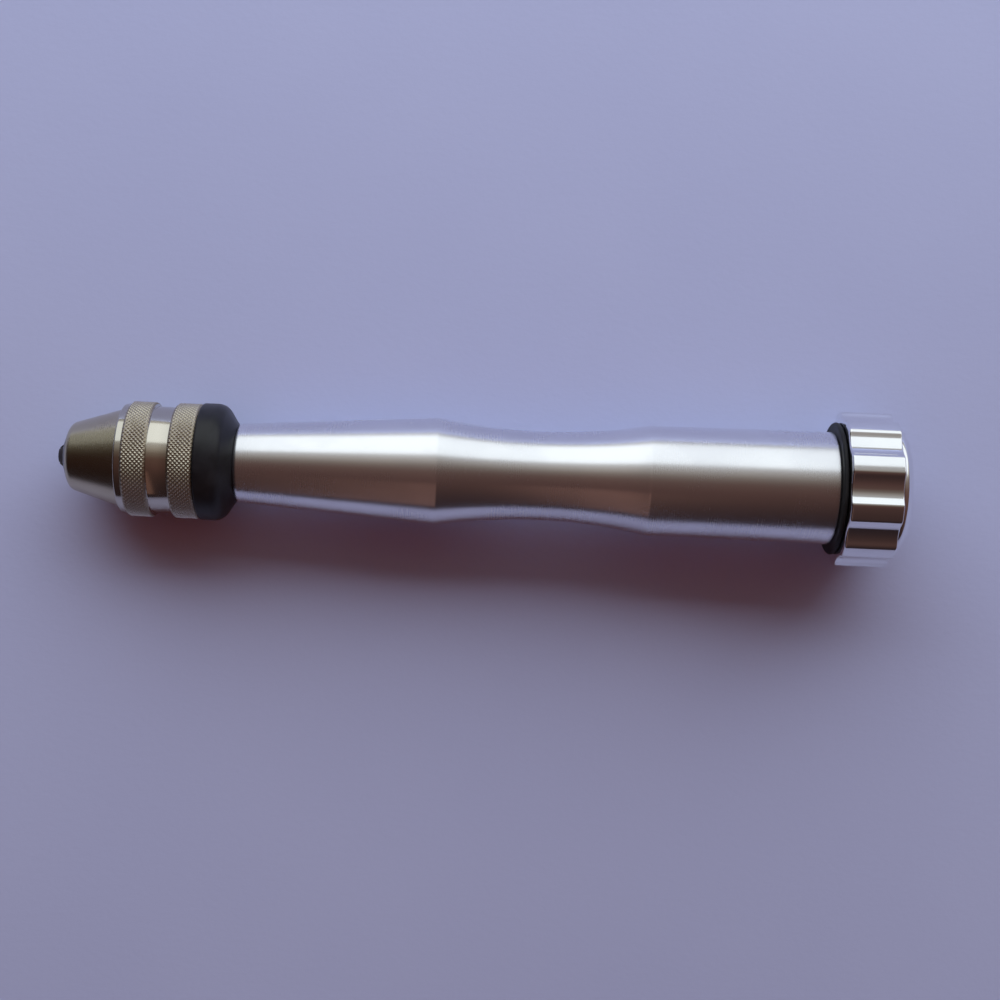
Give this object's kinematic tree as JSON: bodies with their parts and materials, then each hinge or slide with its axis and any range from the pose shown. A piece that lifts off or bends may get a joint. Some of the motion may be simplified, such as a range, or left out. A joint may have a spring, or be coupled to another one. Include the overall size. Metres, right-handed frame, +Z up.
{
  "type": "pin vise drill",
  "caption": "Hand drill for fine bits: a keyless chuck with slanted jaws, a waisted metal barrel and a fluted palm knob that swivels on a ball bearing.",
  "frame": {"origin": "middle of the tool's box, on the tool axis, halfway between the jaw tips and the crown of the knob cap", "axes": "+X along the tool axis from the jaws to the knob, +Z up when it lies on two of the knob's lands, +Y to the left seen from behind the knob"},
  "size_m": [0.1414, 0.0258, 0.0252],
  "materials": {
    "barrel_aluminium": "turned and polished",
    "knob_chrome": "bright plated",
    "sleeve_nickel": "warm nickel plate, knurled",
    "nose_steel": "nickel plate, turned",
    "jaw_steel": "hardened, blackened",
    "plain_steel": "machined",
    "bearing_steel": "ground and polished",
    "cage_brass": "stamped",
    "collar_plastic": "satin black, turned",
    "washer_rubber": "matt black"
  },
  "bodies": {
    "handle": {"barrel": "barrel_aluminium", "spindle_stud": "plain_steel", "front_collar": "collar_plastic", "chuck_body": "nose_steel", "thrust_washer": "plain_steel", "knob_washer": "washer_rubber", "axle_screw": "plain_steel", "bearing_spacer": "plain_steel", "bearing_inner_ring": "bearing_steel"},
    "sleeve": {"chuck_sleeve": "sleeve_nickel", "nut_half_a": "plain_steel", "nut_half_b": "plain_steel"},
    "jaw_1": {"jaw_1": "jaw_steel"},
    "jaw_2": {"jaw_2": "jaw_steel"},
    "jaw_3": {"jaw_3": "jaw_steel"},
    "ball_set": {"bearing_balls": "bearing_steel", "bearing_cage": "cage_brass"},
    "knob": {"knob": "knob_chrome", "knob_cap": "knob_chrome", "bearing_outer_ring": "bearing_steel", "retaining_ring": "plain_steel"}
  },
  "joints": [
    {"name": "sleeve_turn", "type": "hinge", "parent": "handle", "child": "sleeve", "pos_m": [-0.0534, 0, 0], "axis": [-1, 0, 0], "range_deg": [-486, 1566]},
    {"name": "jaw_1_slide", "type": "slide", "parent": "handle", "child": "jaw_1", "axis": [0.9659, 0, 0.2588], "range_m": [-0.00135, 0.00435]},
    {"name": "jaw_2_slide", "type": "slide", "parent": "handle", "child": "jaw_2", "axis": [0.9659, -0.2241, -0.1294], "range_m": [-0.00135, 0.00435]},
    {"name": "jaw_3_slide", "type": "slide", "parent": "handle", "child": "jaw_3", "axis": [0.9659, 0.2241, -0.1294], "range_m": [-0.00135, 0.00435]},
    {"name": "knob_swivel", "type": "hinge", "parent": "handle", "child": "knob", "pos_m": [0.06415, 0, 0], "axis": [1, 0, 0], "continuous": true},
    {"name": "ball_roll", "type": "hinge", "parent": "handle", "child": "ball_set", "pos_m": [0.06415, 0, 0], "axis": [1, 0, 0], "continuous": true}
  ],
  "couplings": [
    {"joint": "jaw_1_slide", "follows": "sleeve_turn", "m_per_rad": 0.00015915},
    {"joint": "jaw_2_slide", "follows": "sleeve_turn", "m_per_rad": 0.00015915},
    {"joint": "jaw_3_slide", "follows": "sleeve_turn", "m_per_rad": 0.00015915},
    {"joint": "ball_roll", "follows": "knob_swivel", "ratio": 0.625}
  ]
}
